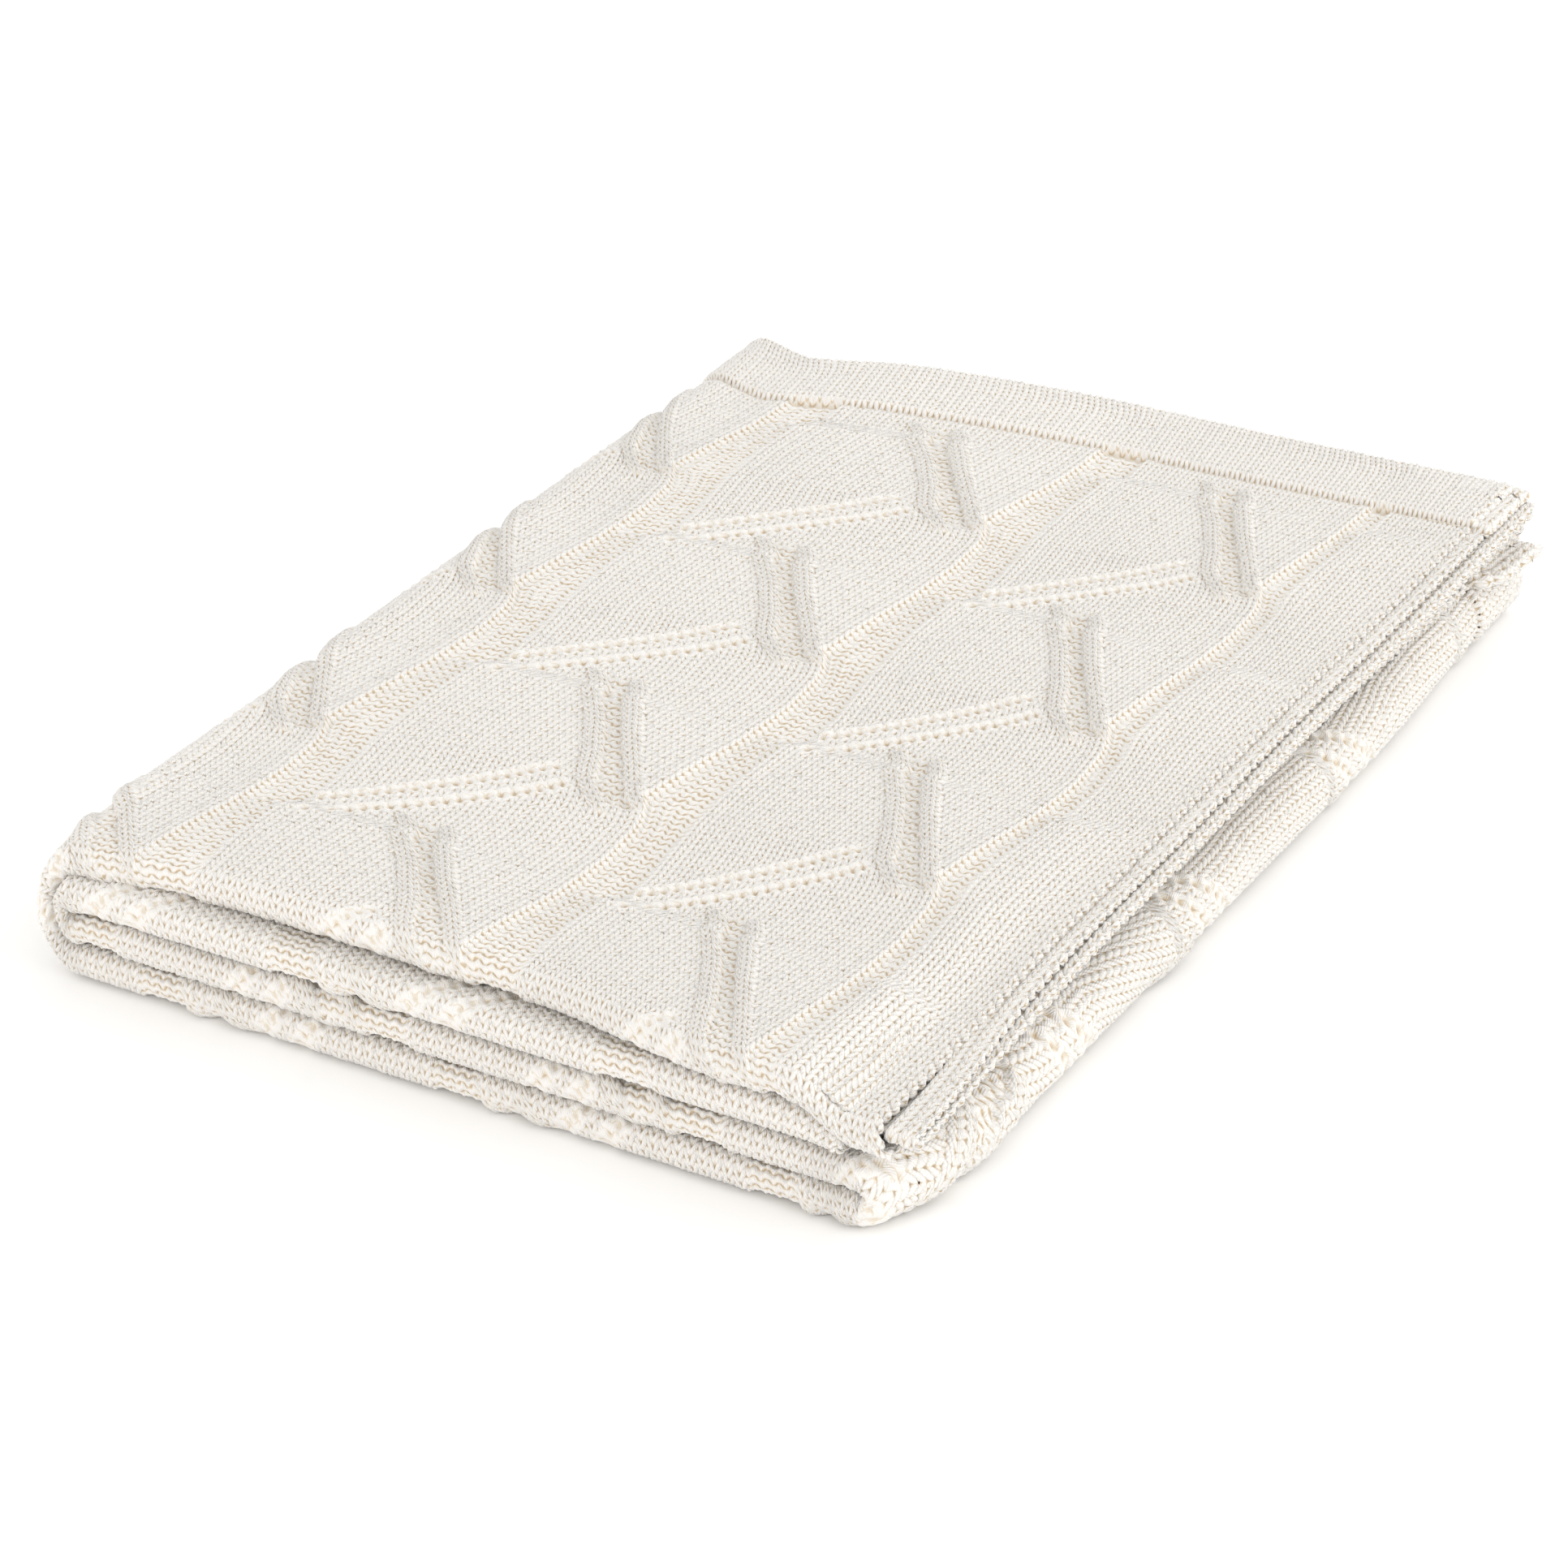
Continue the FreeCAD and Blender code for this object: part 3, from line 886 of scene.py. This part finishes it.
def seam_shift(course):
    """How many wales the stitches at the bottom of the inner wrap lie from INNER_MIDDLE."""
    y = along(course)[0]
    slip = (OUTER_SLIP[4] + OUTER_SLIP[5]) / 2 * smooth(0, SLIP_LENGTH, y - FRONT_Y)
    return level_cut(INNER_MIDDLE + slip, course) - INNER_MIDDLE


def cloth(name, wales, courses, fine, slot="cable_knit", seam=""):
    """A piece of the sheet between two wales and two courses. fine is points per wale and per course.
    Where seam names the first or the last wale, that side follows the bottom of the inner wrap. Where it
    names a cut, those sides stay level where the wales drift."""
    columns = max(2, round((wales[1] - wales[0]) * fine[0]) + 1)
    rows = max(2, round((courses[1] - courses[0]) * fine[1]) + 1)
    share, course = np.meshgrid(np.linspace(0, 1, columns), np.linspace(*courses, rows), indexing="ij")
    first = wales[0] + (seam_shift(course) if seam == "first" else 0)
    last = wales[1] + (seam_shift(course) if seam == "last" else 0)
    if seam in ("cut_first", "cut_both"):
        first = level_cut(wales[0], course)
    if seam in ("cut_last", "cut_both"):
        last = level_cut(wales[1], course)
    wale = first + share * (last - first)
    return grid_piece(name, *place(wale, course), slot)


def dress(piece, bodies, nodes):
    """Attaches a piece to its body, or bakes it in place when it spans two, and hides the nodes it stands
    for.
    """
    if len(bodies) == 1:
        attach(piece, bodies[0])
    else:
        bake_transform(piece)
    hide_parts(*nodes)
    return piece


def make(name, wales, courses, fine, bodies, nodes, slot="cable_knit", seam=""):
    piece = cloth(name, wales, courses, fine, slot, seam)
    return dress(piece, bodies, nodes)


# %% [markdown]
# ## The top face
#
# Everyone looks at this face, so it gets the finest grid. It is cut along the channels and once across.
# The cuts don't show, because both sides share the same points.

# %% Top face pieces
UPPER = ["upper_half"]
LOWER = ["lower_half"]
FINE = (6, 4)
FRONT_CUT = 140
MIDDLE_CUT = 76
BEHIND_EDGE = -5  # this far round an edge, the back of the cloth is out of sight
MIDDLE_PANEL = 34  # wales of the channels that part the top face
LEFT_PANEL = 60
TOP = "top_quarter_"
make("top_face_border", (BEHIND_EDGE, EDGE), (HEM, FRONT_CUT), FINE, UPPER, [TOP + "selvages"],
     "knit_selvage")
TOP_PANELS = (("right", (EDGE, MIDDLE_PANEL)), ("middle", (MIDDLE_PANEL, LEFT_PANEL)),
              ("left", (LEFT_PANEL, LEFT_FOLD)))
for label, wales in TOP_PANELS:
    for end, courses in (("back", (HEM, MIDDLE_CUT)), ("front", (MIDDLE_CUT, FRONT_CUT))):
        make("top_face_%s_%s" % (label, end), wales, courses, FINE, UPPER, [TOP + "outer_hem_ply"])
make("top_hem", (BEHIND_EDGE, LEFT_FOLD), (BEHIND_EDGE, HEM), FINE, UPPER, [TOP + "hems"], "knit_hem")
print("top face", sum(count for _, count in made), "triangles")

# %% [markdown]
# ## Front folds
#
# At the front each package shows the outside of its fold: four soft rolls, one above the other, where
# the cables and purl patches bend over the edge. The rolls run on round the left and right wraps, so
# they are cut where the throw opens, level with the middle of the stack. Knitting stretches where it
# goes round a wrap, and the table gives those pieces a wider stretch, but make does not use it.

# %% Front rolls
ROLL = (FRONT_CUT, 152)
WRAP_STRETCH = 1.35
FOLD_1, FOLD_2, FOLD_3, FOLD_4, FOLD_5, FOLD_6 = FRONT_STATIONS
ROLLS = (
    ("top_front_roll", BEHIND_EDGE, FOLD_1, 7, UPPER, TOP + "front_folds", 1.0),
    ("left_front_roll_upper", FOLD_1, OUTER_MIDDLE, 14, UPPER, "left_outer_wrap_upper", WRAP_STRETCH),
    ("left_front_roll_lower", OUTER_MIDDLE, FOLD_2, 14, LOWER, "left_outer_wrap_lower", WRAP_STRETCH),
    ("bottom_front_roll", FOLD_2, FOLD_3, 7, LOWER, "bottom_quarter_front_folds", 1.0),
    ("right_front_roll", FOLD_3, FOLD_4, 16, LOWER, "right_wrap", 1.0),
    ("third_front_roll", FOLD_4, FOLD_5, 7, LOWER, "third_quarter_front_folds", 1.0),
    ("inner_front_roll_lower", FOLD_5, INNER_MIDDLE, 14, LOWER, "left_inner_wrap_lower", WRAP_STRETCH),
    ("inner_front_roll_upper", INNER_MIDDLE, FOLD_6, 14, UPPER, "left_inner_wrap_upper", WRAP_STRETCH),
    ("second_front_roll", FOLD_6, WALES + 4, 7, UPPER, "second_quarter_front_folds", 1.0),
)
for name, start, end, per_wale, bodies, node, stretch in ROLLS:
    make(name, (start, end), ROLL, (per_wale, 5), bodies, [node])

# %% [markdown]
# ## Wraps, faces that are hidden, and edges
#
# The left wrap is one curved face from the table to the top. It bends across the fold line when the
# throw opens, so it is baked in place and attached to neither half. The faces between the packages show
# only then, and get a coarser grid.

# %% Wraps and inner faces
def plies(quarter, *kinds):
    """Names of some plies of a quarter."""
    return ["%s_quarter_%s_ply" % (quarter, kind) for kind in kinds]


BODY = (HEM, FRONT_CUT)
LEFT_WRAP_END = 86
RIGHT_WRAP_START = 146
RIGHT_WRAP_END = 162
THIRD_START = 172  # from here on the third package is under the second
EDGE_WALES = 3  # wales of an edge strip, on either side of the edge
HEM_ROUND = 3  # courses that go round the end of a hem
make("left_wrap_face", (LEFT_FOLD, LEFT_WRAP_END), BODY, (7, 4), ["lower_half", "upper_half"],
     ["left_outer_wrap_upper", "left_outer_wrap_lower"])
make("bottom_face", (LEFT_WRAP_END, RIGHT_WRAP_START), BODY, (3, 2), LOWER,
     plies("bottom", "outer_hem", "inner_hem", "inner_turned", "outer_turned"))
make("right_wrap_face", (RIGHT_WRAP_START, RIGHT_WRAP_END), BODY, (7, 4), LOWER,
     ["right_wrap"])
make("third_face_right", (RIGHT_WRAP_END, THIRD_START), BODY, (5, 4), LOWER,
     ["third_quarter_outer_hem_ply"])
make("third_face", (THIRD_START, INNER_MIDDLE), BODY, (3, 3), LOWER,
     plies("third", "outer_hem", "inner_hem", "inner_turned", "outer_turned"), seam="last")
make("second_face", (INNER_MIDDLE, WALES - EDGE_WALES), BODY, (3, 3), UPPER,
     ["second_quarter_outer_hem_ply"], seam="first")

# %% [markdown]
# ## Layered edges at the right
#
# At the right the free edges of both upper packages show as a fan of plies, each with its chain of fat
# edge stitches. One long strip follows each edge through all its turns, as the real edge does.

# %% Edges of the plies
AFTER_ROLL = ROLL[1]
make("top_edge_plies", (-EDGE_WALES, EDGE), (AFTER_ROLL, COURSES + HEM_ROUND), (5, 2.6), UPPER,
     [TOP + "selvages"] + plies("top", "inner_hem", "inner_turned", "outer_turned"), "knit_selvage")
SECOND_EDGE = (WALES - EDGE_WALES, WALES + EDGE_WALES)
make("second_edge_first_ply", SECOND_EDGE, (-HEM_ROUND, FRONT_CUT), (6, 3), UPPER,
     ["second_quarter_selvages"], "knit_selvage")
make("second_edge_plies", SECOND_EDGE, (AFTER_ROLL, COURSES + HEM_ROUND), (6, 3), UPPER,
     ["second_quarter_selvages"] + plies("second", "inner_hem", "inner_turned", "outer_turned"),
     "knit_selvage")

# %% [markdown]
# ## Under the top package
#
# The second package stops short of the first, so a strip of the top package's underside can be seen
# from low down. Without it the stack would look hollow there.

# %% Underside of the top package, beyond the edge of the second
UNDERSIDE_END = 22
make("top_underside", (EDGE, UNDERSIDE_END), (AFTER_ROLL, TURN_COURSES[3]), (3, 2), UPPER,
     [TOP + "outer_turned_ply"])

# %% [markdown]
# ## The crease the throw opens from
#
# Closed, the two inner faces meet in a tight crease deep inside the left fold. Opened like a book, that
# crease has to reach across the spine, and knitting does this by sliding cloth out of the fold. A stiff
# model cannot slide, so the cloth that would come out is laid ready inside the fold: a flat leaf on the
# lower half, folded back on itself at the hinge line, and the same again on the upper half.

# %% Crease leaves
CREASE_GAP = 0.3 * MM
CREASE_END = LEFT_X - PACK * 2 + 1.6 * MM
CREASE_WALES = 5.4
CREASE_FRONT = 12 * MM
CREASE_BACK = 4 * MM
CREASE_HEM = 4  # courses of hem on the leaf
CREASE_STARTS = ((WALES - 56.6, False), (WALES - 60.9, True))
CREASE_GRID = (29, 400)


def crease_cloth(name):
    """A sheet that runs left inside the fold under the opening level and comes back above it."""
    columns, rows = CREASE_GRID
    courses = np.linspace(HEM - CREASE_HEM, FRONT_CUT, rows)
    share, course = np.meshgrid(np.linspace(0, 1, columns), courses, indexing="ij")
    leaves = []
    for first, turned in CREASE_STARTS:
        wale = first + share * CREASE_WALES
        height, weights, kind, rulers = relief(wale, course)
        gone = (course - HEM + CREASE_HEM) / (FRONT_CUT - HEM + CREASE_HEM)
        y = HEM_END_Y - CREASE_BACK - gone * (HEM_END_Y - FRONT_Y - CREASE_BACK - CREASE_FRONT)
        corner = 1 - smooth(0.0, CORNER_LENGTH, y - FRONT_Y)
        reach = CREASE_END + (6.0 * corner + 2.5) * MM
        x = LEFT_X + 1 * MM + share * (reach - LEFT_X)
        z = np.minimum(MIDDLE_Z - CREASE_GAP, MIDDLE_Z - 2.6 * MM + height)
        if turned:
            x, z = x[::-1], 2 * MIDDLE_Z - z[::-1]
            weights, kind, rulers = weights[::-1], kind[::-1], rulers[:, ::-1]
        leaves.append((np.stack([x, y, z], -1), weights, kind, rulers))
    points, weights, kind = (np.concatenate([leaf[i] for leaf in leaves]) for i in range(3))
    rulers = np.concatenate([leaf[3] for leaf in leaves], 1)
    return grid_piece(name, points, weights, kind, rulers, "cable_knit")


crease = crease_cloth("opening_crease")
dress(crease, ["lower_half", "upper_half"],
      ["left_inner_wrap_lower", "left_inner_wrap_upper"])

# %% [markdown]
# ## The back of the stack
#
# From behind, each package shows its first hem, its back fold and its second hem, one under the other.
# They are short spans of courses that run through all four packages, so each is cut into three: top,
# lower and second. The cuts stay level, because the throw opens there.

# %% Hems and back folds, as seen from behind
BACK_GRID = (5, 3)
BACK_START = 4  # the wale where the spans leave the edge strip of the top package
SECOND_HEM_COURSES = 6
BACK_DEPTH = 4  # courses on either side of the back turn
outer_back = (FRONT_STATIONS[0] + FRONT_STATIONS[1] + OUTER_SLIP[1]) / 2
inner_back = (FRONT_STATIONS[4] + OUTER_SLIP[4] + FRONT_STATIONS[5] + OUTER_SLIP[5]) / 2
BACK_SPANS = {
    "first_hem": ((-HEM_ROUND, HEM), outer_back, inner_back),
    "second_hem": ((COURSES - SECOND_HEM_COURSES, COURSES + HEM_ROUND), OUTER_MIDDLE, INNER_MIDDLE),
    "back_fold": ((TURN_COURSES[3] - BACK_DEPTH, TURN_COURSES[4] + BACK_DEPTH), OUTER_MIDDLE, INNER_MIDDLE),
}
for label, (courses, outer_cut, inner_cut) in BACK_SPANS.items():
    kind = "back_fold" if label == "back_fold" else "hems"
    slot = "cable_knit" if label == "back_fold" else "knit_hem"
    name, start, fine = "top_" + label, BACK_START, BACK_GRID
    if label == "first_hem":
        name, start, fine = "left_wrap_hem", LEFT_FOLD, FINE
    make(name, (start, outer_cut), courses, fine, UPPER, [TOP + kind], slot, seam="cut_last")
    make("lower_" + label, (outer_cut, inner_cut), courses, BACK_GRID, LOWER,
         ["bottom_quarter_" + kind, "third_quarter_" + kind], slot, seam="cut_both")
    make("second_" + label, (inner_cut, WALES - EDGE_WALES), courses, BACK_GRID, UPPER,
         ["second_quarter_" + kind], slot, seam="cut_first")

print("pieces", len(made), "triangles", sum(count for _, count in made))
print("largest", max(made, key=lambda item: item[1]))

# %% [markdown]
# ## Floor
#
# The throw lies on a pale table that runs out of sight. It gives back light from below, which keeps the
# underside of the folds from going dark.

# %% Floor
FLOOR_SIZE = 8.0


def make_floor():
    """A wide pale plane just under the stack."""
    bpy.ops.object.select_all(action="DESELECT")
    bpy.ops.mesh.primitive_plane_add(size=FLOOR_SIZE, location=(0, 0, -0.0005))
    floor = bpy.context.active_object
    floor.name = "studio_floor"
    material = bpy.data.materials.new("pale_floor")
    material.use_nodes = True
    nodes, links = material.node_tree.nodes, material.node_tree.links
    shader = nodes["Principled BSDF"]
    shader.inputs["Specular IOR Level"].default_value = 0.0
    place_of = nodes.new("ShaderNodeTexCoord")
    mottle = nodes.new("ShaderNodeTexNoise")
    mottle.inputs["Scale"].default_value = 3.0
    tone = nodes.new("ShaderNodeMapRange")
    tone.inputs["To Min"].default_value = 0.97
    tone.inputs["To Max"].default_value = 0.98
    links.new(place_of.outputs["Object"], mottle.inputs["Vector"])
    links.new(mottle.outputs["Fac"], tone.inputs["Value"])
    links.new(tone.outputs["Result"], shader.inputs["Base Color"])
    floor.data.materials.append(material)
    return floor


floor = make_floor()

# %% [markdown]
# ## Light
#
# The light is that of a product table. A bright, even room does most of it. A soft lamp from above the
# back right shapes the stitches, one from the right lights the edge, and a warmer one from the front
# left opens the crevices of the front folds.

# %% Lights
ROOM_LIGHT = 1.04
ROOM_COLOUR = (1.0, 0.995, 0.985, 1.0)


def soft_lamp(name, place, size, power, colour):
    """A square area lamp that points at the stack."""
    data = bpy.data.lights.new(name, "AREA")
    data.size = size
    data.energy = power
    data.color = colour
    lamp = bpy.data.objects.new(name, data)
    bpy.context.scene.collection.objects.link(lamp)
    lamp.location = place
    aim = -lamp.location
    lamp.rotation_euler = aim.to_track_quat("-Z", "Y").to_euler()
    return lamp


world = bpy.data.worlds.new("studio_room")
bpy.context.scene.world = world
world.use_nodes = True
background = world.node_tree.nodes["Background"]
background.inputs["Color"].default_value = ROOM_COLOUR
background.inputs["Strength"].default_value = ROOM_LIGHT
soft_lamp("key_lamp", (0.9, 1.3, 1.3), 0.6, 5.0, (1.0, 0.985, 0.96))
soft_lamp("side_lamp", (1.7, 0.0, 0.6), 1.2, 8.0, (1.0, 0.98, 0.94))
soft_lamp("front_lamp", (-0.5, -1.9, 0.45), 1.2, 9.0, (1.0, 0.93, 0.85))
bpy.context.scene.view_settings.view_transform = "Standard"
